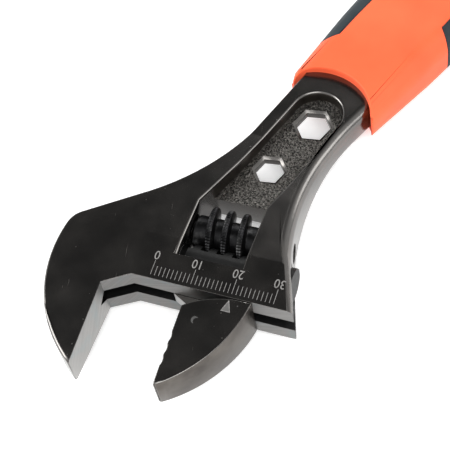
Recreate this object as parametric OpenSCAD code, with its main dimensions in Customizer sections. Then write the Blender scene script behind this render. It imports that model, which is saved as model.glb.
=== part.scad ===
// Adjustable wrench, 200 mm class, lying flat with its scale face up.
// Wrench space: +X runs along the handle to the butt, z = 0 is the middle of the thickness.
// Jaw space: +X is the jaw travel away from the fixed jaw, +Y runs back from the throat roof.

/* [Overall] */
// Length from the fixed jaw's tip to the butt
overall_l = 200; // [190:1:240]
// Angle between the handle and the jaw faces
handle_angle = 22.5; // [15:0.5:30]
// Where the handle's axis meets the throat roof, measured from the fixed jaw face
axis_u = 11; // [8:0.5:14]

/* [Head] */
// Thickness of the head at its crest
head_t = 15; // [13.5:0.5:19]
// Distance of the crest line behind the throat roof
crest_v = 11.4; // [9:0.2:13]
// Fall of the faces from the crest towards the jaw tips, in degrees
tip_taper = 4.4; // [2:0.2:6]
// Distance of the end of the head's rear slope behind the throat roof
slope_end_v = 46; // [40:1:52]
// Radius of the fixed jaw's back
back_r = 32; // [30:0.5:35]
// Centre of the fixed jaw's back, across from the fixed jaw face
back_u = 17.5; // [16:0.5:19]
// Centre of the fixed jaw's back, behind the throat roof
back_v = 2; // [0:0.5:4]
// A point on the straight shoulder, across from the fixed jaw face
shoulder_u = -10.8; // [-12:0.2:-9]
// The same point, behind the throat roof
shoulder_v = 13.2; // [12:0.2:15]
// Slope of the straight shoulder, in degrees
shoulder_angle = 37; // [32:1:42]
// Rounding between the jaw back and the shoulder
shoulder_r = 7; // [4:0.5:9]
// Width of the head at the throat roof, from the fixed jaw face
head_right_u = 45.6; // [44:0.2:49]
// Lean of the head's right wall, in degrees
right_lean = 19.5; // [15:0.5:24]
// Radius of the hollow between shoulder and handle
left_hollow_r = 58; // [40:1:70]
// Radius of the hollow between the right wall and the handle
right_hollow_r = 60; // [40:1:70]

/* [Jaws] */
// Depth of the jaw faces below the throat roof
jaw_depth = 24.5; // [22:0.5:29]
// Length of the slanted corner along the travel
corner_u = 6.3; // [4:0.1:8]
// Depth of the slanted corner below the roof
corner_v = 3.8; // [2.5:0.1:5]
// Opening as stored, read off the scale
rest_opening = 20.4; // [20.4:0.1:20.4]
// Largest opening on the scale
capacity = 30; // [24:1:30]
// Radius of the movable jaw's back
jaw_back_r = 36; // [34:0.5:40]
// Width of the movable jaw at the roof
jaw_w = 15.6; // [14:0.2:17]
// Radius of the movable jaw's round shoulder
jaw_shoulder_r = 23; // [20:0.5:24]
// Where the shoulder runs into the roof, from the movable face
jaw_shoulder_u = 13.5; // [13.5:0.1:14]
// Width of the flat at the movable jaw's tip
tip_w = 1.2; // [0.8:0.1:2]
// Depth of the shallow waves worn into the movable face
wave_depth = 0.25; // [0.1:0.05:0.4]

/* [Slide] */
// Radius of the movable jaw's round rail
rail_r = 4.6; // [3.8:0.1:5.6]
// Length of the rail past the movable jaw face
rail_l = 22; // [20:0.2:22.4]
// Reach of the rail and neck in front of the movable jaw face
neck_reach = 4.2; // [3:0.1:5]
// Height of the lips between the roof and the rail's channel
lip_h = 5; // [4:0.1:6]
// Width of the slot between the lips
slot_w = 4.1; // [3.2:0.1:5]

/* [Worm] */
// Pitch of the worm's thread and of the rack
pitch = 3.9; // [3.4:0.1:4.2]
// Crest radius of the worm
worm_r = 6.75; // [5.6:0.05:8.1]
// Root radius of the worm
worm_root_r = 4.15; // [3.6:0.05:4.6]
// Length of the worm
worm_l = 15.6; // [13:0.2:16.4]
// Width of the thread at its crest
crest_w = 1.3; // [1:0.1:1.5]
// Width of the thread at its root
root_w = 2.1; // [1.7:0.1:2.2]
// Radius of the worm's pin
pin_r = 1.75; // [1.4:0.05:2]
// Radius of the pin's slotted head
pin_head_r = 2.4; // [2.2:0.1:3]
// Wire radius of the worm's friction spring
wire_r = 0.3; // [0.2:0.05:0.35]
// Coil radius of the spring, to the middle of the wire
coil_r = 2.4; // [2.4:0.05:2.5]

/* [Window] */
// Window's left edge, from the fixed jaw face
window_u = 15; // [14:0.2:16]
// Distance of the window's front edge in front of the rail's axis
window_drop = 2; // [1.5:0.1:3]
// Gap behind the worm, where light shows through
back_gap = 2.5; // [1.5:0.1:3.5]

/* [Shank] */
// Thickness of the shank
shank_t = 9; // [8:0.2:10]
// Half width of the shank where it leaves the head
waist_w = 8.6; // [8:0.1:9.5]
// Half width of the shank where it enters the grip
shank_w = 9.9; // [9.6:0.1:10.5]
// Extra width of the shank's left side
left_extra = 0.6; // [0:0.1:1]
// Thickness of the web between the two recesses
web_t = 2.6; // [2:0.1:4]
// Front end of the shank's straight sides
waist_x = 44; // [42:0.5:46]
// Centre of the recess's round end
recess_end_x = 60.5; // [58:0.5:62]
// Radius of the recess's round end
recess_end_r = 6.4; // [6:0.1:6.8]
// Left wall of the recess where it meets the head
recess_left_y = 5.3; // [5:0.1:5.6]
// Right wall of the recess where it meets the head
recess_right_y = -9; // [-9.2:0.1:-8]
// Solid land between the lower recess and the window
lower_land = 3; // [2:0.5:4]

/* [Holes] */
// Across flats of the large hexagon hole
large_hex = 7.6; // [7:0.1:8]
// Across flats of the small hexagon hole
small_hex = 6.35; // [5.5:0.05:6.35]
// Place of the large hexagon hole along the handle
large_hex_x = 58.9; // [57:0.1:60]
// Place of the small hexagon hole along the handle
small_hex_x = 42.1; // [41:0.1:43]
// Width of the bevel round each hexagon hole
hex_bevel = 0.9; // [0.4:0.1:1.2]
// Radius of the hanging hole in the butt
hang_r = 3.5; // [2.5:0.1:4.2]
// Distance of the hanging hole from the butt's end
hang_inset = 8.5; // [7:0.5:10]

/* [Grip] */
// Thickness of the grip
grip_t = 15.6; // [15:0.2:19.2]
// Half width of the grip's mouth
mouth_w = 12.9; // [12.5:0.1:13.5]
// Half width of the grip's belly
belly_w = 15.4; // [14.5:0.1:17]
// Distance of the grip's middle line to the left of the handle's axis
grip_y = 0.8; // [0:0.1:1]
// Front end of the grip's sides
grip_x = 66; // [64:0.5:68]
// Radius of the arch that the grip's mouth follows over the shank
mouth_r = 14.5; // [13:0.5:16]
// How far back the middle of the arch lies
mouth_x = 73; // [71:0.5:75]
// Half width of the orange panel between the inlays
panel_w = 9.8; // [9.6:0.1:10.5]
// Front end of the left inlay
left_inlay_x = 76; // [75:0.5:84]
// Front end of the right inlay
right_inlay_x = 95; // [86:0.5:100]
// Length of the butt
butt_l = 17; // [15:0.5:22]
// Half width of the tang inside the grip
tang_w = 7; // [6:0.1:8]

/* [Fits] */
// Radial running clearance of the rail and of the worm on its pin
run_clear = 0.05; // [0.02:0.01:0.08]
// Side clearance of the neck in the slot
slide_clear = 0.15; // [0.1:0.05:0.25]
// Flank clearance between worm thread and rack
mesh_clear = 0.25; // [0.2:0.05:0.35]
// End clearance of the worm in its window
end_clear = 0.3; // [0.2:0.05:0.5]
// Clearance of parts that stay put
seat_clear = 0.03; // [0.02:0.01:0.05]

/* [Hidden] */
$fn = 96;
eps = 0.01;
far = 60;

steel = [0.14, 0.14, 0.14];
black_oxide = [0.07, 0.07, 0.07];
spring_steel = [0.55, 0.55, 0.56];
orange = [1.0, 0.42, 0.22];
soft_black = [0.10, 0.13, 0.15];

// The rail, worm and window stack up behind the lips
rail_v = lip_h + rail_r;
rack_flat = 0.2;
rack_crest_v = rail_v + rail_r - rack_flat;
worm_v = rack_crest_v + mesh_clear + worm_root_r;
rack_root_v = worm_v - worm_r - mesh_clear;
window_front_v = rail_v - window_drop;
window_back_v = worm_v + worm_r + back_gap;
window_w = worm_l + 2 * end_clear;
worm_u = window_u + end_clear;
recess_front_x = 20;
// Where the window's left wall turns to follow the recess's left wall
turn_v = (recess_left_y + (window_u - axis_u) * cos(handle_angle)) / sin(handle_angle);

// The thread starts and stops inside the worm's ends
thread_end = 0.2;
thread_turns = (worm_l - root_w - 2 * thread_end) / pitch;
thread_start_u = worm_u + root_w / 2 + thread_end;
thread_steps = 28;
thread_sink = 0.35;
// Turn of the thread's start, measured from the side that faces the rack
thread_phase = 352;
// Where the thread crosses the rack's side, as stored
mesh_u = thread_start_u + pitch * (360 - thread_phase) / 360;
lead_angle = atan(pitch / (2 * PI * (worm_r + worm_root_r) / 2));

// Spring pocket in the worm's left end
pocket_r = coil_r + wire_r + 0.3;
pocket_l = 3;
spring_turns = 3;

// Pin: from a blind seat left of the window to the head's right wall
pin_seat_l = 5;
pin_head_l = 2.6;
pin_proud = 0.1;
pin_recess = 0.3;
right_wall_u = head_right_u - worm_v * tan(right_lean) + pin_proud;
pin_left_u = window_u - pin_seat_l;
pin_head_u = right_wall_u - pin_head_l - pin_recess;
driver_slot = 0.7;

// The hollows cross the straight sides at a hair's angle instead of just touching them
blend_bite = 0.02;

// Neck and channel
channel_back = neck_reach + 0.6;
notch_depth = 3;
neck_root_u = 2.2;
neck_drop = 3.3;
neck_right = jaw_w - 2;

// Grip stations follow the overall length
tip_u = back_u - sqrt(pow(back_r, 2) - pow(jaw_depth + back_v, 2));
tip_x = (tip_u - axis_u) * sin(handle_angle) - jaw_depth * cos(handle_angle);
butt_x = tip_x + overall_l;
butt_front_x = butt_x - butt_l;
tang_end_x = butt_front_x - 2;
hang_x = butt_x - hang_inset;
belly_x = grip_x + 0.45 * (butt_x - grip_x);
mouth_t = 13;
butt_t = 14.4;
grip_edge_r = 5.8;
front_edge_r = 2;

// Cross sections of the grip from mouth to butt: place along the handle, half width, thickness
grip_stations = [
    [grip_x, mouth_w - front_edge_r / 2, mouth_t - front_edge_r],
    [grip_x + front_edge_r, mouth_w, mouth_t],
    [belly_x - 25, belly_w - 1.2, grip_t],
    [belly_x, belly_w, grip_t],
    [belly_x + 30, belly_w - 0.4, grip_t],
    [butt_x - 8, belly_w - 3.2, butt_t],
    [butt_x - 2, belly_w - 6.5, butt_t],
    [butt_x - eps, belly_w - 9, butt_t - 4]
];

// The orange panel widens to the grip's full width over these lengths
left_ramp = 6;
right_ramp = 3.4;
tang_neck_x = mouth_x + 1;
tang_step = 3;

// Rounding circle of the shoulder: tangent inside the jaw back and under the shoulder line
shoulder_dir = [cos(shoulder_angle), sin(shoulder_angle)];
shoulder_nrm = [-sin(shoulder_angle), cos(shoulder_angle)];
shoulder_p = [shoulder_u, shoulder_v] - shoulder_r * shoulder_nrm;
back_c = [back_u, back_v];
foot = shoulder_p + ((back_c - shoulder_p) * shoulder_dir) * shoulder_dir;
reach = sqrt(pow(back_r - shoulder_r, 2) - pow(norm(back_c - foot), 2));
round_c = foot - reach * shoulder_dir;

function to_wrench(p) = [
    (p[0] - axis_u) * sin(handle_angle) + p[1] * cos(handle_angle),
    (axis_u - p[0]) * cos(handle_angle) + p[1] * sin(handle_angle)
];

// The row's origin is the centre of the bounding box's bottom
y_high = to_wrench(round_c)[1] + shoulder_r;
y_low = to_wrench([head_right_u, 0])[1];
centre_x = tip_x + overall_l / 2;
centre_y = (y_high + y_low) / 2;
floor_z = max(grip_t, head_t) / 2;

module in_row() { translate([-centre_x, -centre_y, floor_z]) children(); }

module jaw_space() {
    rotate([0, 0, handle_angle - 90]) translate([-axis_u, 0, 0]) children();
}

// An outline in (distance behind the roof, height), run along the jaw travel
module along_travel(from, to) {
    translate([from, 0, 0]) rotate([90, 0, 90]) linear_extrude(to - from) children();
}

module bar_u(r, from, to, v) {
    translate([from, v, 0]) rotate([0, 90, 0]) cylinder(r = r, h = to - from);
}

function face_z(v) = head_t / 2 - max(0, crest_v - v) * tan(tip_taper);

// Thickness of the whole forging, seen along the jaw travel
module thickness_profile() {
    tip_v = -jaw_depth - 5;
    top = [[tip_v, face_z(tip_v)], [crest_v, head_t / 2], [slope_end_v, shank_t / 2],
           [overall_l, shank_t / 2]];
    bottom = [for (i = [3:-1:0]) [top[i][0], -top[i][1]]];
    polygon(concat(top, bottom));
}

module slab(t = 2 * head_t) { linear_extrude(t, center = true) children(); }

// The forging's head, full height, in jaw space
module head_slab() {
    right_top = [head_right_u - (slope_end_v - 10) * tan(right_lean), slope_end_v - 10];
    left_top = [shoulder_u, shoulder_v] + 42 * shoulder_dir;
    difference() {
        intersection() {
            cylinder_at(back_c, back_r);
            slab() polygon([[-far, -jaw_depth], [-far, far], [far, far], [far, -jaw_depth]]);
            slab() polygon([[shoulder_u, shoulder_v] - far * shoulder_dir,
                            [shoulder_u, shoulder_v] + far * shoulder_dir,
                            [far, -far], [-far, -far]]);
        }
        shoulder_cut();
        slab(far) polygon([[0, -far], [0, -corner_v], [corner_u, 0], [far, 0], [far, -far]]);
        slab(far) polygon([[head_right_u, 0], [far, 0], [far, far],
                           [head_right_u - far * tan(right_lean), far]]);
    }
    slab() polygon([[corner_u, 0], [corner_u - 4, 0], [0, 12], left_top, right_top,
                    [head_right_u, 0]]);
}

module cylinder_at(p, r) {
    translate([p[0], p[1], -head_t]) cylinder(r = r, h = 2 * head_t, $fn = 240);
}

// What the rounding takes off between the jaw back and the shoulder
module shoulder_cut() {
    out = (round_c - back_c) / norm(round_c - back_c);
    difference() {
        slab(far) polygon([round_c, round_c + 2 * shoulder_r * shoulder_nrm,
                           round_c + 3 * shoulder_r * (out + shoulder_nrm),
                           round_c + 2 * shoulder_r * out]);
        translate([round_c[0], round_c[1], -far]) cylinder(r = shoulder_r, h = 2 * far);
    }
}

// Shank and tang, in wrench space
function shank_half(x) = waist_w + (shank_w - waist_w) * (x - waist_x) / (mouth_x - waist_x);
waist_left_w = waist_w + left_extra;
shank_left_w = shank_w + left_extra;

module shank_outline() {
    polygon([[waist_x - 22, waist_left_w], [waist_x, waist_left_w], [mouth_x, shank_left_w],
             [tang_neck_x, shank_left_w], [tang_neck_x + tang_step, tang_w], [tang_end_x, tang_w],
             [tang_end_x, -tang_w], [tang_neck_x + tang_step, -tang_w],
             [tang_neck_x, -shank_w], [mouth_x, -shank_w], [waist_x, -waist_w],
             [waist_x - 22, -waist_w]]);
}

// Fills the corner between two directions with a hollow of radius r
module hollow(corner, a1, a2, r) {
    half = (a2 - a1) / 2;
    mid = [cos((a1 + a2) / 2), sin((a1 + a2) / 2)];
    centre = corner + r / sin(half) * mid;
    run = r / tan(half);
    difference() {
        slab() polygon([corner - 4 * mid, corner + run * [cos(a1), sin(a1)], centre,
                        corner + run * [cos(a2), sin(a2)]]);
        translate([centre[0], centre[1], -far])
            cylinder(r = r + blend_bite, h = 2 * far, $fn = 240);
    }
}

// Where two lines, each a point and a direction in degrees, cross
function cross_at(p, a, q, b) =
    let (d = [cos(a), sin(a)], e = [cos(b), sin(b)], w = q - p,
         t = (w[0] * e[1] - w[1] * e[0]) / (d[0] * e[1] - d[1] * e[0]))
    p + t * d;

// Hollows that blend the head into the shank, in wrench space
module blends() {
    side = atan((shank_w - waist_w) / (mouth_x - waist_x));
    shoulder_a = shoulder_angle + handle_angle - 90;
    wall_a = right_lean + handle_angle;
    left_corner = cross_at(to_wrench([shoulder_u, shoulder_v]), shoulder_a,
                           [waist_x, waist_left_w], side);
    right_corner = cross_at(to_wrench([head_right_u, 0]), wall_a, [waist_x, -waist_w], -side);
    hollow(left_corner, side, 180 + shoulder_a, left_hollow_r);
    hollow(right_corner, wall_a - 180, -side, right_hollow_r);
}

module forging() {
    jaw_space() head_slab();
    slab() shank_outline();
    blends();
}

// The recess opens into the window, just behind the bend of the window's left wall
module recess() {
    side = recess_end_r;
    front_left_x = to_wrench([window_u, turn_v])[0] + 1;
    linear_extrude(head_t) {
        polygon([[front_left_x, recess_left_y], [waist_x - 6, recess_left_y],
                 [recess_end_x, side], [recess_end_x, -side],
                 [waist_x - 4, recess_right_y + 0.5], [recess_front_x, recess_right_y]]);
        translate([recess_end_x, 0]) circle(r = side);
    }
}

module hex_hole(x, flats) {
    r = flats / 2 / cos(30);
    translate([x, 0, 0]) cylinder(r = r, h = head_t, center = true, $fn = 6);
    for (s = [0, 1]) mirror([0, 0, s]) translate([x, 0, web_t / 2 - hex_bevel / 2])
        cylinder(r1 = r, r2 = r + 2 * hex_bevel, h = hex_bevel, $fn = 6);
}

// The slot ends in a point where it runs out in the fixed jaw's face
module channel() {
    half = slot_w / 2;
    along_travel(-channel_back, far)
        polygon([[rail_v, half], [-corner_v, half], [-corner_v - notch_depth, 0],
                 [-corner_v, -half], [rail_v, -half]]);
    bar_u(rail_r + run_clear, -channel_back, far, rail_v);
}

// The window's left wall turns at its back to follow the recess's left wall
module window() {
    back_left_u = axis_u - (recess_left_y - window_back_v * sin(handle_angle)) / cos(handle_angle);
    slab(far) polygon([[window_u, window_front_v], [window_u, turn_v],
                       [back_left_u, window_back_v], [window_u + window_w, window_back_v],
                       [window_u + window_w, window_front_v]]);
}

module frame() {
    color(steel) in_row() difference() {
        intersection() {
            forging();
            jaw_space() along_travel(-2 * far, 4 * far) thickness_profile();
        }
        jaw_space() {
            channel();
            window();
            bar_u(pin_r + seat_clear, pin_left_u, pin_head_u + eps, worm_v);
            bar_u(pin_head_r + seat_clear, pin_head_u, far, worm_v);
        }
        translate([0, 0, web_t / 2]) recess();
        mirror([0, 0, 1]) translate([0, 0, web_t / 2]) difference() {
            recess();
            jaw_space() translate([-far, -far, -eps])
                cube([2 * far, far + window_back_v + lower_land, 2 * head_t]);
        }
        hex_hole(large_hex_x, large_hex);
        hex_hole(small_hex_x, small_hex);
    }
}

// Movable jaw in its own space: the face at u = 0
module jaw_outline() {
    roof = -slide_clear;
    back_cu = jaw_w - jaw_back_r + 0.25;
    back_cv = 5;
    difference() {
        intersection() {
            translate([back_cu, back_cv]) circle(r = jaw_back_r, $fn = 240);
            polygon([[0, roof], [far, roof], [far, -jaw_depth - 2],
                     [tip_w, -jaw_depth - 0.4], [0, -jaw_depth + 0.2]]);
        }
        // round shoulder that tucks under the fixed jaw's slanted corner
        difference() {
            translate([-1, -2 * corner_v]) square([jaw_shoulder_u + 1, 2 * corner_v + 1]);
            translate([jaw_shoulder_u, roof - jaw_shoulder_r])
                circle(r = jaw_shoulder_r, $fn = 240);
        }
        // shallow waves in the face
        for (v = [-12.5, -15.5, -18.5])
            translate([wave_depth - 3, v]) circle(r = 3, $fn = 64);
    }
}

module rack_gap(u) {
    wide = root_w / 2 + mesh_clear;
    slim = crest_w / 2 + mesh_clear;
    depth = worm_v - worm_root_r - rack_root_v;
    translate([u, rack_root_v, 0])
        rotate([0, -lead_angle, 0]) translate([0, 0, -rail_r - 1])
            linear_extrude(2 * rail_r + 2)
                polygon([[-slim, 0], [slim, 0], [wide, depth + 1], [-wide, depth + 1]]);
}

module rail() {
    first = mesh_u - rest_opening;
    low = ceil((-neck_reach - first) / pitch - 1);
    high = floor((rail_l - first) / pitch + 1);
    difference() {
        bar_u(rail_r, -neck_reach, rail_l, rail_v);
        // flat crest of the rack
        translate([-far, rack_crest_v, -far]) cube([2 * far, far, 2 * far]);
        for (k = [low:high]) rack_gap(first + k * pitch);
    }
}

module neck() {
    half = slot_w / 2 - slide_clear;
    translate([0, 0, -half]) linear_extrude(2 * half)
        polygon([[-neck_reach, rail_v], [-neck_reach, 0], [neck_root_u, -neck_drop],
                 [neck_right, -neck_drop], [neck_right, rail_v]]);
}

module movable_jaw() {
    color(steel) in_row() jaw_space() translate([rest_opening, 0, 0]) {
        intersection() {
            translate([0, 0, -head_t]) linear_extrude(2 * head_t) jaw_outline();
            along_travel(-far, far) thickness_profile();
        }
        intersection() {
            neck();
            translate([-far, -far, -far]) cube([2 * far, far + rail_v, 2 * far]);
        }
        rail();
    }
}

// One ring of the thread's section: two points at the root, two at the crest
function thread_ring(i) =
    let (a = 360 * i / thread_steps, fade = min(1, i / 5, (last_ring() - i) / 5),
         r_out = worm_root_r + (worm_r - worm_root_r) * max(0.04, fade),
         r_in = worm_root_r - thread_sink, u = pitch * a / 360,
         c = cos(a), s = sin(a))
    [[u - root_w / 2, r_in * c, r_in * s], [u - crest_w / 2, r_out * c, r_out * s],
     [u + crest_w / 2, r_out * c, r_out * s], [u + root_w / 2, r_in * c, r_in * s]];

function last_ring() = round(thread_turns * thread_steps);

function ring_sides(n, k) = [
    for (i = [0:n - 1], j = [0:k - 1])
        let (a = i * k + j, b = i * k + (j + 1) % k, c = b + k, d = a + k)
        each [[a, b, c], [a, c, d]]
];

module swept(rings, k) {
    n = len(rings) - 1;
    polyhedron(points = [for (ring = rings) each ring],
               faces = concat([[for (j = [k - 1:-1:0]) j]], ring_sides(n, k),
                              [[for (j = [0:k - 1]) n * k + j]]));
}

module worm_screw() {
    color(black_oxide) in_row() jaw_space() difference() {
        union() {
            bar_u(worm_root_r, worm_u, worm_u + worm_l, worm_v);
            translate([thread_start_u, worm_v, 0]) rotate([180 + thread_phase, 0, 0])
                swept([for (i = [0:last_ring()]) thread_ring(i)], 4);
        }
        bar_u(pin_r + run_clear, worm_u - 1, worm_u + worm_l + 1, worm_v);
        bar_u(pocket_r, worm_u - 1, worm_u + pocket_l, worm_v);
    }
}

module worm_pin() {
    color(spring_steel) in_row() jaw_space() difference() {
        union() {
            bar_u(pin_r, pin_left_u + seat_clear, pin_head_u + pin_head_l / 2, worm_v);
            bar_u(pin_head_r, pin_head_u + seat_clear, pin_head_u + pin_head_l, worm_v);
        }
        // screwdriver slot
        translate([pin_head_u + pin_head_l - 1, worm_v - far / 2, -driver_slot / 2])
            cube([2, far, driver_slot]);
    }
}

function coil_ring(i, steps, length) =
    let (a = 360 * i / steps, u = length * i / (steps * spring_turns))
    [for (j = [0:7]) let (b = 45 * j, r = coil_r + wire_r * cos(b))
        [u + wire_r * sin(b), r * cos(a), r * sin(a)]];

module worm_spring() {
    steps = 20;
    length = pocket_l + end_clear - 2 * wire_r - 0.3;
    color(spring_steel) in_row() jaw_space()
        translate([window_u + wire_r + seat_clear, worm_v, 0])
            swept([for (i = [0:steps * spring_turns]) coil_ring(i, steps, length)], 8);
}

// One rounded cross section of the grip
module grip_station(x, w, t, r) {
    for (sy = [-1, 1], sz = [-1, 1])
        translate([x, grip_y + sy * (w - r), sz * (t / 2 - r)]) rotate([0, 90, 0])
            cylinder(r = r, h = eps, $fn = 32);
}

// Outer form of the whole grip
module grip_form() {
    hull() for (s = grip_stations) grip_station(s[0], s[1], s[2], grip_edge_r);
}

module side_band(front_x, ramp) {
    translate([0, 0, -grip_t])
        linear_extrude(2 * grip_t)
            polygon([[front_x, far], [front_x, belly_w], [front_x + ramp, panel_w],
                     [butt_front_x, panel_w], [butt_front_x, far]]);
}

module bands() {
    side_band(left_inlay_x, left_ramp);
    mirror([0, 1, 0]) side_band(right_inlay_x, right_ramp);
}

module grip_sleeve() {
    color(orange) in_row() difference() {
        grip_form();
        bands();
        translate([butt_front_x, -far, -far]) cube([far, 2 * far, 2 * far]);
        // arched mouth
        translate([mouth_x - mouth_r, 0, -far]) cylinder(r = mouth_r, h = 2 * far, $fn = 160);
        // seat of shank and tang
        translate([0, 0, -shank_t / 2 - seat_clear])
            linear_extrude(shank_t + 2 * seat_clear) seat_outline();
    }
}

module seat_outline() {
    c = seat_clear;
    front_x = grip_x - 5;
    front_w = shank_half(front_x) + c;
    left_w = shank_left_w + c;
    polygon([[front_x, front_w + left_extra], [mouth_x, left_w], [tang_neck_x + c, left_w],
             [tang_neck_x + tang_step + c, tang_w + c], [tang_end_x + c, tang_w + c],
             [tang_end_x + c, -tang_w - c], [tang_neck_x + tang_step + c, -tang_w - c],
             [tang_neck_x + c, -shank_w - c], [mouth_x, -shank_w - c], [front_x, -front_w]]);
}

module inlay_left() {
    color(soft_black) in_row() intersection() {
        grip_form();
        side_band(left_inlay_x, left_ramp);
    }
}

module inlay_right() {
    color(soft_black) in_row() intersection() {
        grip_form();
        mirror([0, 1, 0]) side_band(right_inlay_x, right_ramp);
    }
}

module grip_butt() {
    color(soft_black) in_row() difference() {
        intersection() {
            grip_form();
            translate([butt_front_x, -far, -far]) cube([far, 2 * far, 2 * far]);
        }
        translate([hang_x, grip_y, -far]) cylinder(r = hang_r, h = 2 * far);
    }
}

frame();
movable_jaw();
worm_screw();
worm_pin();
worm_spring();
grip_sleeve();
inlay_left();
inlay_right();
grip_butt();
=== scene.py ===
# Adjustable wrench lying on a pale floor, scale face up. Metres, same frame as the solids.
import math
import bmesh
import bpy
from mathutils import Matrix, Vector


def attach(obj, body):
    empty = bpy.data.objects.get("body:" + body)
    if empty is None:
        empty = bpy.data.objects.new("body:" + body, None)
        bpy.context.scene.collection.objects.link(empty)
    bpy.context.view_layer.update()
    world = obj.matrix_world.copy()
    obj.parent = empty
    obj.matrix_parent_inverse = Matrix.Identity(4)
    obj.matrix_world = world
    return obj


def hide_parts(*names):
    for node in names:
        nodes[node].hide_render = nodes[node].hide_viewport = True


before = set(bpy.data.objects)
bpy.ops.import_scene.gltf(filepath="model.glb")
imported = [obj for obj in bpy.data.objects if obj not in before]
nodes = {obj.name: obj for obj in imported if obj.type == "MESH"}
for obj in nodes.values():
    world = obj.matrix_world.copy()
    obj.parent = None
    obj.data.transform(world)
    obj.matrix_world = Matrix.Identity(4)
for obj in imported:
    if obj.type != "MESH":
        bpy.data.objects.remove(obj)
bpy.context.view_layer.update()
print("loaded", len(nodes), "nodes")

mm = 0.001
wrench = {
    "centre": (72.9881, -2.79752),  # middle of the footprint, in millimetres along and across the handle
    "midHeight": 7.8,               # half the thickness, above the floor
    "handleAngle": math.radians(22.5),
    "axisAcross": 11.0,             # where the handle's axis meets the throat roof
    "crestBehind": 11.4,
    "headHalf": 7.5,
    "frontFall": math.radians(4.4),
    "restOpening": 20.4,
}
turnCos, turnSin = math.cos(wrench["handleAngle"]), math.sin(wrench["handleAngle"])


def alongHandle(point):
    # millimetres along and across the handle, height from the middle plane
    return (point.x / mm + wrench["centre"][0], point.y / mm + wrench["centre"][1],
            point.z / mm - wrench["midHeight"])


def atJaws(point):
    # millimetres across the jaws, behind the throat roof, and from the middle plane
    x, y, z = alongHandle(point)
    return (x * turnSin - y * turnCos + wrench["axisAcross"], x * turnCos + y * turnSin, z)


def jawDirection(vector):
    return (vector.x * turnSin - vector.y * turnCos, vector.x * turnCos + vector.y * turnSin, vector.z)


def fromJaws(across, behind, height=0.0):
    x = (across - wrench["axisAcross"]) * turnSin + behind * turnCos
    y = (wrench["axisAcross"] - across) * turnCos + behind * turnSin
    return Vector(((x - wrench["centre"][0]) * mm, (y - wrench["centre"][1]) * mm,
                   (height + wrench["midHeight"]) * mm))


acrossAxis = Vector((turnSin, -turnCos, 0))
behindAxis = Vector((turnCos, turnSin, 0))


def jawPlacement(across, behind, height, turn=Matrix.Identity(4)):
    # X across the jaws, Y back from the roof, Z up
    axes = Matrix((acrossAxis, behindAxis, Vector((0, 0, 1)))).transposed().to_4x4()
    return Matrix.Translation(fromJaws(across, behind, height)) @ axes @ turn


def nothingSelected():
    if bpy.context.object and bpy.context.object.mode != "OBJECT":
        bpy.ops.object.mode_set(mode="OBJECT")
    bpy.ops.object.select_all(action="DESELECT")


def take(piece):
    nothingSelected()
    piece.select_set(True)
    bpy.context.view_layer.objects.active = piece


def editing(piece, mode="FACE"):
    take(piece)
    bpy.ops.object.mode_set(mode="EDIT")
    bpy.ops.mesh.select_mode(type=mode)
    bpy.ops.mesh.select_all(action="DESELECT")
    return bmesh.from_edit_mesh(piece.data)


def doneEditing(piece):
    bpy.ops.object.mode_set(mode="OBJECT")
    piece.data.update()


def applied(piece, kind, **settings):
    take(piece)
    modifier = piece.modifiers.new(kind.title(), kind)
    for name, value in settings.items():
        setattr(modifier, name, value)
    bpy.ops.object.modifier_apply(modifier=modifier.name)


def mergedCopy(node, name):
    # a copy of a solid's skin with its triangles joined into whole faces
    piece = bpy.data.objects.new(name, nodes[node].data.copy())
    bpy.context.scene.collection.objects.link(piece)
    piece.data.materials.clear()
    take(piece)
    bpy.ops.mesh.customdata_custom_splitnormals_clear()
    editing(piece)
    bpy.ops.mesh.select_all(action="SELECT")
    bpy.ops.mesh.remove_doubles(threshold=2e-6)
    bpy.ops.mesh.dissolve_limited(angle_limit=math.radians(0.7))
    doneEditing(piece)
    return piece


def roundEdges(piece, widthOf, widest, steps):
    # widthOf gives each edge its own rounding in millimetres, 0 to leave it
    mesh = editing(piece, "EDGE")
    layers = mesh.edges.layers.float
    weight = layers.get("bevel_weight_edge") or layers.new("bevel_weight_edge")
    count = 0
    for edge in mesh.edges:
        if len(edge.link_faces) == 2 and edge.calc_face_angle(0) > math.radians(3):
            width = widthOf(edge)
            edge[weight] = min(1.0, width / widest)
            count += width > 0
    bmesh.update_edit_mesh(piece.data)
    doneEditing(piece)
    applied(piece, "BEVEL", limit_method="WEIGHT", width=widest * mm, segments=steps,
            use_clamp_overlap=False, offset_type="OFFSET", miter_outer="MITER_SHARP")
    print("  rounded", count, "edges of", piece.name)


def smoothed(piece, angle=32, weighted=False, flatArea=0):
    # faces larger than flatArea in square millimetres that look up or down stay flat
    take(piece)
    bpy.ops.object.shade_smooth_by_angle(angle=math.radians(angle))
    if weighted:
        applied(piece, "WEIGHTED_NORMAL", keep_sharp=True, weight=60, mode="FACE_AREA")
    for face in piece.data.polygons:
        if flatArea and face.area > flatArea * mm * mm and abs(face.normal.z) > 0.995:
            face.use_smooth = False


def painted(piece, names, finishOf=None):
    # finishOf names each face's finish
    for name in names:
        piece.data.materials.append(finishes[name])
    if finishOf:
        for face in piece.data.polygons:
            face.material_index = names.index(finishOf(face))


def joined(pieces, name):
    nothingSelected()
    for piece in pieces:
        piece.select_set(True)
    bpy.context.view_layer.objects.active = pieces[0]
    if len(pieces) > 1:
        bpy.ops.object.join()
    pieces[0].name = name
    return pieces[0]


def placed(piece, matrix):
    # puts the piece's place into its mesh
    take(piece)
    piece.matrix_world = matrix @ piece.matrix_world
    bpy.ops.object.transform_apply(location=True, rotation=True, scale=True)
    return piece


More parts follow.
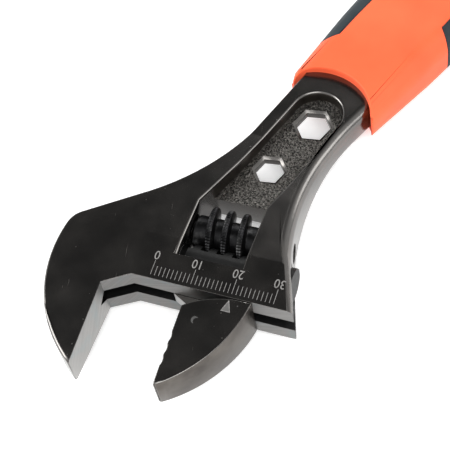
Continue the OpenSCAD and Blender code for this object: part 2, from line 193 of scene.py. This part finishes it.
class Wire:
    # one output of a node, which arithmetic turns into Math nodes
    def __init__(self, kit, socket):
        self.kit, self.socket = kit, socket

    def maths(self, operation, first, second):
        return self.kit.add("ShaderNodeMath", {"operation": operation}, {0: first, 1: second})

    def __add__(self, other):
        return self.maths("ADD", self, other)

    def __radd__(self, other):
        return self.maths("ADD", other, self)

    def __sub__(self, other):
        return self.maths("SUBTRACT", self, other)

    def __rsub__(self, other):
        return self.maths("SUBTRACT", other, self)

    def __mul__(self, other):
        return self.maths("MULTIPLY", self, other)

    def __truediv__(self, other):
        return self.maths("DIVIDE", self, other)

    def between(self, low, high):
        # 0 below low, 1 above high, straight in between
        return self.kit.add("ShaderNodeMapRange", {"clamp": True}, {0: self, 1: low, 2: high})


class Finish:
    def __init__(self, name, **constants):
        self.material = bpy.data.materials.new(name)
        self.material.use_nodes = True
        self.nodes = self.material.node_tree.nodes
        self.links = self.material.node_tree.links
        self.shader = self.nodes["Principled BSDF"]
        self.set(**constants)

    def set(self, **values):
        names = {"colour": "Base Color", "rough": "Roughness", "metal": "Metallic", "normal": "Normal",
                 "specular": "Specular IOR Level", "sheen": "Sheen Weight"}
        for key, value in values.items():
            self.feed(self.shader.inputs[names[key]], value)

    def feed(self, socket, value):
        if isinstance(value, Wire):
            self.links.new(value.socket, socket)
        elif socket.type == "RGBA" and not isinstance(value, (int, float)):
            socket.default_value = (*value, 1.0)[:4]
        else:
            socket.default_value = value

    def add(self, kind, settings, inputs, output=0):
        node = self.nodes.new(kind)
        for name, value in settings.items():
            setattr(node, name, value)
        for key, value in inputs.items():
            self.feed(node.inputs[key], value)
        return Wire(self, node.outputs[output])

    def place(self):
        return self.add("ShaderNodeTexCoord", {}, {}, "Object")

    def noise(self, scale, detail=2.0, where=None, rough=0.5):
        return self.add("ShaderNodeTexNoise", {}, {"Vector": where or self.place(), "Scale": scale,
                                                   "Detail": detail, "Roughness": rough}, "Fac")

    def cells(self, scale):
        return self.add("ShaderNodeTexVoronoi", {}, {"Vector": self.place(), "Scale": scale}, "Distance")

    def streaks(self, along, across, length, width):
        # fine lines that run along one direction, one to each width
        spot = self.place()
        run = self.add("ShaderNodeVectorMath", {"operation": "DOT_PRODUCT"}, {0: spot, 1: along}, "Value")
        side = self.add("ShaderNodeVectorMath", {"operation": "DOT_PRODUCT"}, {0: spot, 1: across}, "Value")
        flat = self.add("ShaderNodeCombineXYZ", {}, {0: run / length, 1: side / width})
        return self.noise(1.0, 3.0, flat)

    def mix(self, factor, first, second):
        return self.add("ShaderNodeMix", {"data_type": "RGBA"}, {0: factor, 6: first, 7: second}, 2)

    def bump(self, height, strength, distance):
        return self.add("ShaderNodeBump", {},
                        {"Height": height, "Strength": strength, "Distance": distance})


def platedSteel(name):
    # black nickel over forged steel: dark, glossy, with hairline scratches and dull specks
    look = {"colour": (0.140, 0.135, 0.130), "worn": (0.23, 0.215, 0.20), "rough": 0.17}
    kit = Finish(name, metal=1.0)
    cloud = kit.noise(130.0, 4.0)
    hair = kit.streaks((0.83, 0.55, 0.1), (-0.55, 0.83, 0.2), 0.011, 0.00022)
    scratch = hair.between(0.70, 0.76) * kit.noise(210.0).between(0.5, 0.62)
    other = kit.streaks((0.2, -0.97, 0.1), (0.97, 0.2, 0.3), 0.008, 0.00018)
    crossing = other.between(0.715, 0.77) * kit.noise(170.0, 2.0).between(0.52, 0.6)
    speck = 1 - kit.cells(420.0).between(0.04, 0.10)
    spots = speck * kit.noise(90.0, 1.0).between(0.5, 0.56)
    marks = scratch + crossing + spots
    kit.set(colour=kit.mix(cloud.between(0.35, 0.75) * 0.5 + marks * 0.4, look["colour"], look["worn"]),
            rough=look["rough"] + cloud * 0.10 + marks * 0.16,
            normal=kit.bump(kit.noise(900.0, 3.0) * 0.35 + cloud * 0.5 - scratch * 0.5 - crossing * 0.5,
                            0.16, 0.00012))
    return kit


def nickedSteel():
    # the jaw's top with two near-white hook-shaped marks, each a round spot less a smaller round beside it
    kit = platedSteel("hookMarkedNickel")
    spot = kit.place()
    hookHeight = 6.1
    hookMarks = [((4.2, -7.3), 0.95, (4.75, -7.55), 0.85), ((12.6, -1.6), 0.45, (12.8, -1.7), 0.25)]
    bright = 0.0
    for outer, outerSize, inner, innerSize in hookMarks:
        rings = [kit.add("ShaderNodeVectorMath", {"operation": "DISTANCE"},
                         {0: spot, 1: tuple(fromJaws(wrench["restOpening"] + across, behind, hookHeight))},
                         "Value") for across, behind in (outer, inner)]
        hook = 1 - rings[0].between(outerSize * 0.9 * mm, outerSize * mm)
        bright = bright + hook * rings[1].between(innerSize * mm, innerSize * 1.1 * mm)
    base = kit.shader.inputs["Base Color"].links[0].from_socket
    # the hook-shaped marks are mixed in at near white
    kit.set(colour=kit.mix(bright, Wire(kit, base), (1.0, 0.99, 0.97)))
    return kit.material


def groundSteel(name, shine):
    # bare ground faces of the jaws and lips, with the wheel's slanted lines
    look = {"colour": tuple(value * shine for value in (0.60, 0.59, 0.575)),
            "dull": tuple(value * shine for value in (0.38, 0.37, 0.36)),
            "tint": tuple(value * shine for value in (0.44, 0.53, 0.55))}
    kit = Finish(name, metal=1.0)
    slant = tuple((behindAxis + Vector((0, 0, 1))).normalized())
    cross = tuple((behindAxis - Vector((0, 0, 1)) + 0.4 * acrossAxis).normalized())
    lines = kit.streaks(slant, cross, 0.03, 0.00032)
    fine = kit.streaks(slant, cross, 0.012, 0.00011)
    cloud = kit.noise(240.0, 3.0)
    shade = kit.mix(lines.between(0.35, 0.65) * 0.55 + fine * 0.2, look["colour"], look["dull"])
    kit.set(colour=kit.mix(cloud.between(0.5, 0.75) * 0.6, shade, look["tint"]),
            rough=0.30 + fine * 0.12 + cloud * 0.06,
            normal=kit.bump(lines + fine * 0.6, 0.22, 0.00006))
    return kit.material


def polishedWall():
    # the jaw's curved outer wall: satin, a little brown
    look = {"colour": (0.062, 0.054, 0.048), "light": (0.125, 0.113, 0.10)}
    kit = Finish("satinNickel", metal=1.0)
    cloud = kit.noise(160.0, 3.0)
    lines = kit.streaks((0, 0, 1), tuple(acrossAxis), 0.004, 0.0004)
    kit.set(colour=kit.mix(cloud.between(0.3, 0.7), look["colour"], look["light"]),
            rough=0.26 + cloud * 0.12,
            normal=kit.bump(lines * 0.4 + kit.noise(1400.0, 2.0) * 0.5, 0.14, 0.00008))
    return kit.material


def castFloor():
    # the recess keeps the rough skin of the forging under its plating
    look = {"low": (0.012, 0.012, 0.012), "high": (0.20, 0.19, 0.175)}
    kit = Finish("castSkin", metal=1.0)
    grain = kit.noise(2600.0, 3.0, rough=0.66)
    pits = kit.cells(2100.0)
    height = grain + pits * 0.7
    kit.set(colour=kit.mix(grain.between(0.40, 0.64), look["low"], look["high"]),
            rough=0.24 + grain * 0.2,
            normal=kit.bump(height, 0.85, 0.00028))
    return kit.material


def machinedDark():
    # inside of the slot and the channel: oily steel painted near black as the slot's shade
    kit = Finish("machinedDark", metal=1.0, colour=(0.035, 0.035, 0.035))
    lines = kit.streaks(tuple(acrossAxis), (0, 0, 1), 0.02, 0.0004)
    grain = kit.noise(1300.0, 3.0)
    kit.set(rough=0.38 + grain * 0.2, normal=kit.bump(lines + grain * 0.6, 0.35, 0.00012))
    return kit.material


def blackOxide():
    # the worm: oily black oxide, rubbed a little in cloudy patches
    look = {"colour": (0.016, 0.016, 0.017), "rubbed": (0.06, 0.06, 0.06)}
    kit = Finish("blackOxide", metal=0.85)
    cloud = kit.noise(420.0, 4.0)
    kit.set(colour=kit.mix(cloud.between(0.52, 0.72), look["colour"], look["rubbed"]),
            rough=0.25 + cloud * 0.2, normal=kit.bump(cloud + kit.noise(2200.0) * 0.5, 0.3, 0.0001))
    return kit.material


def pinSteel():
    kit = Finish("pinSteel", metal=1.0)
    cloud = kit.noise(700.0, 3.0)
    kit.set(colour=kit.mix(cloud, (0.16, 0.16, 0.165), (0.30, 0.30, 0.30)), rough=0.28 + cloud * 0.2,
            normal=kit.bump(cloud, 0.2, 0.0001))
    return kit.material


def springSteel():
    kit = Finish("springSteel", metal=1.0, colour=(0.5, 0.5, 0.51))
    cloud = kit.noise(900.0, 2.0)
    kit.set(rough=0.22 + cloud * 0.15, normal=kit.bump(cloud, 0.1, 0.00005))
    return kit.material


def orangeGrip():
    # satin moulded plastic with a fine spark-eroded skin
    look = {"colour": (1.0, 0.140, 0.050), "deep": (0.95, 0.110, 0.036)}
    kit = Finish("orangeGrip", specular=0.25, sheen=0.05)
    cloud = kit.noise(60.0, 3.0)
    skin = kit.noise(2600.0, 2.0)
    dust = (1 - kit.cells(300.0).between(0.03, 0.07)) * kit.noise(70.0, 1.0).between(0.55, 0.6)
    kit.set(colour=kit.mix(cloud.between(0.3, 0.7), look["colour"], look["deep"]),
            rough=0.46 + skin * 0.12 + dust * 0.1,
            normal=kit.bump(skin + kit.noise(520.0, 2.0) * 0.5, 0.14, 0.00008))
    return kit.material


def softBlack():
    look = {"colour": (0.016, 0.024, 0.030), "grey": (0.030, 0.040, 0.047)}
    kit = Finish("softBlack", specular=0.22)
    cloud = kit.noise(180.0, 3.0)
    skin = kit.cells(2300.0)
    kit.set(colour=kit.mix(cloud.between(0.35, 0.7), look["colour"], look["grey"]),
            rough=0.52 + cloud * 0.12, normal=kit.bump(skin + cloud * 0.4, 0.25, 0.00012))
    return kit.material


def etchedMark():
    kit = Finish("etchedMark", metal=0.35)
    cloud = kit.noise(1800.0, 3.0)
    kit.set(colour=kit.mix(cloud.between(0.35, 0.7), (0.30, 0.29, 0.28), (0.17, 0.165, 0.16)),
            rough=0.5 + cloud * 0.2, normal=kit.bump(cloud, 0.3, 0.00004))
    return kit.material


def etchedFill():
    kit = Finish("etchedFill", metal=0.5)
    cloud = kit.noise(1500.0, 3.0)
    kit.set(colour=kit.mix(cloud, (0.17, 0.165, 0.16), (0.10, 0.10, 0.095)), rough=0.45 + cloud * 0.2,
            normal=kit.bump(cloud, 0.3, 0.00004))
    return kit.material


finishes = {"plated": platedSteel("blackNickel").material, "hookMarked": nickedSteel(),
            "ground": groundSteel("groundJaw", 0.72), "lip": groundSteel("groundLips", 0.40),
            "wall": polishedWall(), "cast": castFloor(), "slotShade": machinedDark(), "oxide": blackOxide(),
            "pin": pinSteel(), "spring": springSteel(), "orange": orangeGrip(), "black": softBlack(),
            "mark": etchedMark(), "fill": etchedFill()}
print("materials made")


# widths of the rounding on the forging's edges, in millimetres
frameEdges = {"right": 2.6, "rightFront": 1.1, "left": 0.45, "tip": 0.8, "throat": 0.10, "windowLeft": 0.7,
              "windowFront": 0.12, "windowRight": 0.35, "rim": 0.7, "hex": 0.15, "widest": 2.6, "steps": 6}
# where its features lie, across and behind at the jaws or along and across the handle
frameSpots = {"windowLeft": 15.0, "windowBend": 17.0, "windowRight": 31.2, "windowFront": 7.6,
              "windowBack": 27.9, "recessFront": 12, "recessEnd": 60.5, "recessBack": 68,
              "recessRight": -9.3, "recessLeft": 6.7, "tangNeck": 73.5, "rightFrom": 30, "tipFrom": -17,
              "webReach": 2.6, "channelBack": 14.4, "channelHalf": 4.8}


def frameEdgeWidth(edge):
    one, two = edge.link_faces
    middle = (edge.verts[0].co + edge.verts[1].co) / 2
    across, behind, _ = atJaws(middle)
    x, y, z = alongHandle(middle)
    flat = max(abs(one.normal.z), abs(two.normal.z))
    steep = min(abs(one.normal.z), abs(two.normal.z))
    furthest = max(alongHandle(vert.co)[0] for vert in edge.verts)
    spots = frameSpots
    if not edge.is_convex or furthest > spots["tangNeck"]:
        return 0
    if abs(z) < spots["webReach"]:
        return frameEdges["hex"] if x > 34 and edge.calc_face_angle(0) > 0.6 and abs(y) < 5 else 0
    if flat < 0.9 or steep > 0.5:
        return frameEdges["throat"] if flat < 0.5 and behind < 0.2 and abs(z) < 7.4 else 0
    if (spots["windowLeft"] - 0.1 < across < spots["windowRight"] + 0.2
            and spots["windowFront"] - 0.2 < behind < spots["windowBack"]):
        if across < spots["windowBend"]:
            return frameEdges["windowLeft"]
        if abs(behind - spots["windowFront"]) < 0.1:
            return frameEdges["windowFront"]
        if abs(across - spots["windowRight"]) < 0.1:
            return frameEdges["windowRight"]
    if behind < 0.3 and across > -0.2:
        return frameEdges["throat"]
    if (spots["recessFront"] < x < spots["recessBack"] and spots["recessRight"] < y < spots["recessLeft"]
            and not looksOutward(one if abs(one.normal.z) < abs(two.normal.z) else two, x, y)):
        return frameEdges["rim"]
    if across > spots["rightFrom"] or (x > spots["rightFrom"] and y < 0):
        return frameEdges["rightFront"] if behind < wrench["crestBehind"] else frameEdges["right"]
    return frameEdges["tip"] if behind < spots["tipFrom"] else frameEdges["left"]


def looksOutward(face, x, y):
    # an outline's steep face looks away from the handle's axis, a recess wall looks towards it
    if x > frameSpots["recessEnd"]:
        return face.normal.dot(Vector((x - frameSpots["recessEnd"], y, 0))) > 0
    return face.normal.y * y > 0


def frameFinish(face):
    across, behind, _ = atJaws(face.center)
    x, y, z = alongHandle(face.center)
    normal = jawDirection(face.normal)
    if face.normal.z ** 2 < 0.05:
        if normal[0] > 0.97 and abs(across) < 0.3:
            return "ground"
        if normal[1] < -0.97 and abs(behind) < 0.3:
            return "lip"
        if normal[0] > 0.3 and normal[1] < -0.3 and -4 < behind < 0.3 and across < 6.5:
            return "lip"
    # the slot and the channel inside the head get the near-black painted shade
    if (-5 < across < 46 and -7 < behind < frameSpots["channelBack"]
            and abs(z) < frameSpots["channelHalf"]):
        return "slotShade"
    level = abs(face.normal.z) > 0.5
    outer = abs(z) > 2.5 if level else looksOutward(face, x, y)
    if 24 < x < 67 and -9.2 < y < 7 and 1.2 < abs(z) < 4.6 and not outer:
        return "cast" if level else "wall"
    return "plated"


forging = mergedCopy("frame", "forgedFrame")
# the tang's neck is closed up so that the shank's rounding has room to run out inside the grip
editing(forging, "EDGE")
for edge in bmesh.from_edit_mesh(forging.data).edges:
    x, y, z = alongHandle((edge.verts[0].co + edge.verts[1].co) / 2)
    edge.select = abs(x - frameSpots["tangNeck"]) < 0.2 and abs(y) > 9 and abs(z) > 4
bpy.ops.mesh.merge(type="COLLAPSE")
doneEditing(forging)
roundEdges(forging, frameEdgeWidth, frameEdges["widest"], frameEdges["steps"])
smoothed(forging, flatArea=0.5)
painted(forging, ["plated", "ground", "cast", "slotShade", "lip", "wall"], frameFinish)
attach(forging, "body")
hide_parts("frame")
print("frame done")


jawEdges = {"sides": 0.2, "tip": 0.5, "tipFrom": -23.5, "neckFrom": 3.5, "steps": 3}


def jawEdgeWidth(edge):
    _, behind, z = atJaws((edge.verts[0].co + edge.verts[1].co) / 2)
    if not edge.is_convex or behind > 0.2 or edge.calc_face_angle(0) < 0.5:
        return 0
    if behind < jawEdges["tipFrom"]:
        return jawEdges["tip"]
    return jawEdges["sides"] if abs(z) > 4 else 0


def jawFinish(face):
    across, behind, z = atJaws(face.center)
    across -= wrench["restOpening"]
    normal = jawDirection(face.normal)
    # the rail, running in the channel, gets the near-black painted shade
    if behind > jawEdges["neckFrom"]:
        return "slotShade"
    if normal[0] < -0.9 and across < 0.5 and behind < -3:
        return "ground"
    if normal[0] < -0.2 and normal[1] < -0.2 and across < 2.3 and abs(z) < 2.1:
        return "ground"
    if abs(face.normal.z) < 0.5 and normal[0] > 0.2:
        return "wall"
    # the rest is the jaw's top, which carries the near-white hook-shaped marks
    return "hookMarked"


jaw = mergedCopy("movable_jaw", "movableJaw")
roundEdges(jaw, jawEdgeWidth, jawEdges["tip"], jawEdges["steps"])
smoothed(jaw, flatArea=0.5)
painted(jaw, ["hookMarked", "ground", "wall", "slotShade"], jawFinish)
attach(jaw, "jaw")
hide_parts("movable_jaw")
print("jaw done")


worm = {"pitch": 3.9, "crest": 6.75, "root": 4.15, "length": 15.6, "start": 15.3, "behind": 18.4,
        "crestWidth": 1.3, "rootWidth": 2.1, "turns": (15.6 - 2.1 - 0.4) / 3.9, "stepsPerTurn": 120,
        "firstTurn": 532, "threadStart": 16.55, "knurl": 0.17, "bore": 1.82,
        "pocket": 3.0, "pocketLength": 3.0, "fadeTurns": 5 / 28, "crestRounding": 0.42}


def threadPiece():
    steps = round(worm["turns"] * worm["stepsPerTurn"])
    nothingSelected()
    bpy.ops.mesh.primitive_plane_add(size=1.0, rotation=(math.pi / 2, 0, 0))
    piece = bpy.context.object
    bpy.ops.object.transform_apply(location=True, rotation=True, scale=True)
    tall = (worm["crest"] - worm["root"] + 0.4) * mm
    placed(piece, Matrix.Diagonal((worm["rootWidth"] * mm, 1, tall, 1)))
    placed(piece, Matrix.Translation((0, 0, worm["crest"] * mm - tall / 2)))
    mesh = editing(piece, "VERT")
    for vert in mesh.verts:
        vert.select = vert.co.z > (worm["crest"] - 0.1) * mm
    mesh.select_flush_mode()
    narrow = worm["crestWidth"] / worm["rootWidth"]
    bpy.ops.transform.resize(value=(narrow, 1, 1), center_override=(0, 0, 0))
    bpy.ops.mesh.bevel(offset=worm["crestRounding"] * mm, segments=3, affect="VERTICES")
    bpy.ops.mesh.select_all(action="SELECT")
    bpy.ops.mesh.delete(type="ONLY_FACE")
    doneEditing(piece)
    ring = len(piece.data.vertices)
    applied(piece, "SCREW", axis="X", angle=worm["turns"] * 2 * math.pi,
            screw_offset=worm["turns"] * worm["pitch"] * mm, steps=steps, render_steps=steps,
            use_normal_calculate=True, use_merge_vertices=False)
    return piece, ring, steps


def shapeThread(piece, ring, steps):
    # the thread runs out at both ends, and its crest is knurled
    fadeSteps = worm["fadeTurns"] * worm["stepsPerTurn"]
    for vert in piece.data.vertices:
        step = vert.index // ring
        radius = math.hypot(vert.co.y, vert.co.z) / mm
        fade = max(0.04, min(1.0, step / fadeSteps, (steps - step) / fadeSteps))
        wanted = radius
        if radius > worm["root"]:
            wanted = worm["root"] + (radius - worm["root"]) * fade
            if radius > worm["crest"] - 0.3 and step % 2:
                wanted -= worm["knurl"]
        vert.co.y *= wanted / radius
        vert.co.z *= wanted / radius
    mesh = editing(piece, "VERT")
    mesh.verts.ensure_lookup_table()
    for first in (0, steps * ring):
        bpy.ops.mesh.select_all(action="DESELECT")
        for vert in mesh.verts[first:first + ring]:
            vert.select = True
        mesh.select_flush_mode()
        bpy.ops.mesh.edge_face_add()
        mesh = bmesh.from_edit_mesh(piece.data)
        mesh.verts.ensure_lookup_table()
    bpy.ops.mesh.select_all(action="SELECT")
    bpy.ops.mesh.normals_make_consistent(inside=False)
    doneEditing(piece)


def turned(name, outline, sides):
    # a turned ring on the X axis: (radius, place) pairs in millimetres, each loop extruded from the last
    nothingSelected()
    radius, start = outline[0]
    bpy.ops.mesh.primitive_circle_add(vertices=sides, radius=radius * mm, rotation=(0, math.pi / 2, 0),
                                      location=(start * mm, 0, 0))
    piece = bpy.context.object
    piece.name = name
    bpy.ops.object.transform_apply(location=True, rotation=True, scale=True)
    editing(piece, "EDGE")
    bpy.ops.mesh.select_all(action="SELECT")
    for (r1, x1), (r2, x2) in zip(outline, outline[1:]):
        bpy.ops.mesh.extrude_region_move(TRANSFORM_OT_translate={"value": ((x2 - x1) * mm, 0, 0)})
        bpy.ops.transform.resize(value=(1, r2 / r1, r2 / r1), center_override=(x2 * mm, 0, 0))
    bpy.ops.mesh.select_all(action="DESELECT")
    bpy.ops.mesh.select_non_manifold()
    bpy.ops.mesh.bridge_edge_loops()
    bpy.ops.mesh.select_all(action="SELECT")
    bpy.ops.mesh.normals_make_consistent(inside=False)
    doneEditing(piece)
    return piece


def wormCore():
    # barrel with chamfered ends, a bore for the pin and the spring's pocket
    root, bore, pocket = worm["root"], worm["bore"], worm["pocket"]
    left, right = worm["start"], worm["start"] + worm["length"]
    pocketEnd = left + worm["pocketLength"]
    outline = [(pocket, left), (root - 0.35, left), (root, left + 0.35), (root, right - 0.5),
               (root - 0.5, right), (bore + 0.4, right), (bore, right - 0.4), (bore, pocketEnd),
               (pocket, pocketEnd)]
    return turned("wormCore", outline, 96)


def makeWorm():
    thread, ring, steps = threadPiece()
    shapeThread(thread, ring, steps)
    placed(thread, Matrix.Translation((worm["threadStart"] * mm, 0, 0))
           @ Matrix.Rotation(math.radians(worm["firstTurn"] - 90), 4, "X"))
    core = wormCore()
    piece = joined([thread, core], "wormScrew")
    placed(piece, jawPlacement(0, worm["behind"], 0))
    smoothed(piece, 38)
    painted(piece, ["oxide"])
    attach(piece, "worm")
    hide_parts("worm_screw")


makeWorm()
print("worm done")


pinEdges = {"head": 0.16, "headFrom": 36, "steps": 2}


def pinEdgeWidth(edge):
    # the head's rim and the slot's lips
    across = atJaws((edge.verts[0].co + edge.verts[1].co) / 2)[0]
    atHead = edge.is_convex and across > pinEdges["headFrom"]
    return pinEdges["head"] if atHead and edge.calc_face_angle(0) > 0.6 else 0


pin = mergedCopy("worm_pin", "slottedPin")
roundEdges(pin, pinEdgeWidth, pinEdges["head"], pinEdges["steps"])
smoothed(pin, 40)
painted(pin, ["pin"])
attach(pin, "body")
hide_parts("worm_pin")
nodes["worm_spring"].data.materials.clear()
nodes["worm_spring"].data.materials.append(finishes["spring"])
print("pin and spring done")


grip = {"mouthX": 73.0, "mouthRadius": 14.5, "mouthSides": 67, "seamFrom": 74, "holeFrom": 158,
        "rim": 0.55, "seam": 0.28, "hole": 0.9, "steps": 4}


def sleeveEdgeWidth(edge):
    x, y, z = alongHandle((edge.verts[0].co + edge.verts[1].co) / 2)
    if not edge.is_convex or edge.calc_face_angle(0) < 0.6:
        return 0
    onArch = abs(math.hypot(x - grip["mouthX"] + grip["mouthRadius"], y) - grip["mouthRadius"]) < 0.15
    if (onArch or x < grip["mouthSides"]) and (abs(z) > 4.9 or abs(y) > 11.2):
        return grip["rim"]
    return grip["seam"] if x > grip["seamFrom"] and abs(y) > 8 else 0


def blackEdgeWidth(edge):
    x, y, z = alongHandle((edge.verts[0].co + edge.verts[1].co) / 2)
    if not edge.is_convex or edge.calc_face_angle(0) < 0.6:
        return 0
    return grip["hole"] if abs(y) < 4 and abs(z) > 6 and x > grip["holeFrom"] else grip["seam"]


for node, name, finish, widths in (("grip_sleeve", "gripSleeve", "orange", sleeveEdgeWidth),
                                   ("inlay_left", "leftInlay", "black", blackEdgeWidth),
                                   ("inlay_right", "rightInlay", "black", blackEdgeWidth),
                                   ("grip_butt", "gripButt", "black", blackEdgeWidth)):
    part = mergedCopy(node, name)
    roundEdges(part, widths, grip["hole"], grip["steps"])
    smoothed(part, 40, weighted=True)
    painted(part, [finish])
    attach(part, "body")
    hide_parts(node)
print("grip done")


scale = {"zero": 10.77, "marks": 31, "start": 0.95, "short": 3.35, "long": 4.7, "width": 0.13,
         "thick": 0.012, "numberBehind": 6.15, "numberHeight": 2.25, "numberStretch": 0.86}


def onFrontSlope(across, behind):
    # a spot on the face that falls from the crest to the jaw tips: X across, Y back along the slope, Z out
    height = wrench["headHalf"] - (wrench["crestBehind"] - behind) * math.tan(wrench["frontFall"])
    return jawPlacement(across, behind, height, Matrix.Rotation(wrench["frontFall"], 4, "X"))


def thickened(piece):
    # a flat mark becomes a thin solid that stands just proud of the face
    editing(piece, "FACE")
    bpy.ops.mesh.select_all(action="SELECT")
    bpy.ops.mesh.extrude_region_move(TRANSFORM_OT_translate={"value": (0, 0, scale["thick"] * mm)})
    bpy.ops.mesh.select_all(action="SELECT")
    bpy.ops.mesh.normals_make_consistent(inside=False)
    doneEditing(piece)


def tickMark(number):
    length = (scale["long"] if number % 10 == 0 else scale["short"]) - scale["start"]
    nothingSelected()
    bpy.ops.mesh.primitive_plane_add(size=1)
    piece = bpy.context.object
    placed(piece, Matrix.Diagonal((scale["width"] * mm, length * mm, 1, 1)))
    editing(piece, "VERT")
    bpy.ops.mesh.select_all(action="SELECT")
    bpy.ops.mesh.bevel(offset=scale["width"] * 0.3 * mm, segments=2, affect="VERTICES")
    doneEditing(piece)
    thickened(piece)
    return placed(piece, onFrontSlope(scale["zero"] + number, scale["start"] + length / 2))


def numberMark(number):
    # numbers read from the other end, so their tops point to the jaw tips
    nothingSelected()
    bpy.ops.object.text_add()
    text = bpy.context.object
    text.data.body = str(number)
    text.data.align_x, text.data.align_y = "CENTER", "CENTER"
    text.data.size = scale["numberHeight"] * mm / 0.70
    text.data.resolution_u = 4
    bpy.ops.object.convert(target="MESH")
    piece = bpy.context.object
    placed(piece, Matrix.Rotation(math.pi, 4, "Z") @ Matrix.Diagonal((scale["numberStretch"], 1, 1, 1)))
    editing(piece, "FACE")
    bpy.ops.mesh.select_all(action="SELECT")
    bpy.ops.mesh.remove_doubles(threshold=1e-6)
    bpy.ops.mesh.dissolve_limited(angle_limit=math.radians(1))
    doneEditing(piece)
    thickened(piece)
    return placed(piece, onFrontSlope(scale["zero"] + number, scale["numberBehind"]))


def makeScale():
    marks = [tickMark(number) for number in range(scale["marks"])]
    marks += [numberMark(number) for number in (0, 10, 20, 30)]
    piece = joined(marks, "millimetreScale")
    painted(piece, ["mark"])
    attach(piece, "body")


def makePointer():
    # a triangle with a brighter outline on the movable jaw
    pointer = {"across": 10.3, "tip": -0.62, "base": -3.6, "halfWidth": 1.15, "outline": 0.16}
    nothingSelected()
    bpy.ops.mesh.primitive_circle_add(vertices=3, radius=1, fill_type="NGON")
    piece = bpy.context.object
    wide, tall = pointer["halfWidth"], pointer["tip"] - pointer["base"]
    placed(piece, Matrix.Diagonal((wide / math.cos(math.pi / 6) * mm, tall / 1.5 * mm, 1, 1)))
    editing(piece, "FACE")
    bpy.ops.mesh.select_all(action="SELECT")
    bpy.ops.mesh.inset(thickness=pointer["outline"] * mm)
    doneEditing(piece)
    inner = min(range(len(piece.data.polygons)), key=lambda i: piece.data.polygons[i].center.length)
    painted(piece, ["mark", "fill"], lambda face: "fill" if face.index == inner else "mark")
    thickened(piece)
    middle = pointer["base"] + tall / 3
    placed(piece, onFrontSlope(wrench["restOpening"] + pointer["across"], middle))
    piece.name = "pointer"
    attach(piece, "jaw")


makeScale()
makePointer()
print("scale done")


def makeCamera():
    view = {"place": (-0.15927, -0.13914, 0.28578), "right": (0.65661, -0.74510, -0.11697),
            "up": (0.67635, 0.51305, 0.52853), "back": (-0.33381, -0.42615, 0.84082), "angle": 18.592}
    bpy.ops.object.camera_add()
    camera = bpy.context.object
    turn = Matrix((view["right"], view["up"], view["back"])).transposed().to_4x4()
    camera.matrix_world = Matrix.Translation(view["place"]) @ turn
    camera.data.sensor_width = 36
    camera.data.angle = math.radians(view["angle"])
    camera.data.clip_start, camera.data.clip_end = 0.01, 20
    bpy.context.scene.camera = camera


def softLight(name, place, size, power):
    # a soft box that looks at the wrench's middle
    bpy.ops.object.light_add(type="AREA", location=place)
    light = bpy.context.object
    light.name = name
    light.data.shape = "RECTANGLE"
    light.data.size, light.data.size_y = size
    light.data.energy = power
    light.rotation_euler = (-Vector(place)).to_track_quat("-Z", "Y").to_euler()


def makeStage():
    # pale floor, and a bright surround with a dark patch towards flag
    stage = {"floorSize": 6.0, "floorDrop": 0.0002, "floor": (0.93, 0.93, 0.93), "glow": 0.35,
             "flag": (0.38, 0.42, 0.90), "flagStops": (0.70, 0.965), "flagLevels": (0.85, 0.06)}
    nothingSelected()
    bpy.ops.mesh.primitive_plane_add(size=stage["floorSize"], location=(0, 0, -stage["floorDrop"]))
    floor = bpy.context.object
    floor.name = "floor"
    kit = Finish("paleFloor", colour=stage["floor"], rough=0.9, specular=0.1)
    kit.shader.inputs["Emission Color"].default_value = (1, 1, 1, 1)
    kit.shader.inputs["Emission Strength"].default_value = stage["glow"]
    floor.data.materials.append(kit.material)
    world = bpy.data.worlds.new("studio")
    bpy.context.scene.world = world
    world.use_nodes = True
    tree = world.node_tree
    where = tree.nodes.new("ShaderNodeTexCoord")
    unit = tree.nodes.new("ShaderNodeVectorMath")
    unit.operation = "DOT_PRODUCT"
    unit.inputs[1].default_value = Vector(stage["flag"]).normalized()
    tree.links.new(where.outputs["Generated"], unit.inputs[0])
    ramp = tree.nodes.new("ShaderNodeValToRGB")
    for stop, position, level in zip(ramp.color_ramp.elements, stage["flagStops"], stage["flagLevels"]):
        stop.position, stop.color = position, (level, level, level, 1)
    ramp.color_ramp.interpolation = "EASE"
    tree.links.new(unit.outputs["Value"], ramp.inputs[0])
    tree.links.new(ramp.outputs[0], tree.nodes["Background"].inputs["Color"])
    softLight("leftBox", (-0.7, 0.9, 0.8), (0.7, 0.7), 12)
    softLight("rightBox", (0.9, -0.9, 0.6), (0.9, 0.5), 5)
    softLight("landGlow", (0.75, 0.42, 0.62), (0.16, 0.30), 2.2)
    softLight("topBox", (-0.5, -0.6, 1.2), (0.8, 0.8), 9)


makeCamera()
makeStage()
bpy.context.scene.view_settings.view_transform = "Standard"
bpy.context.scene.view_settings.look = "None"

print("scene ready")
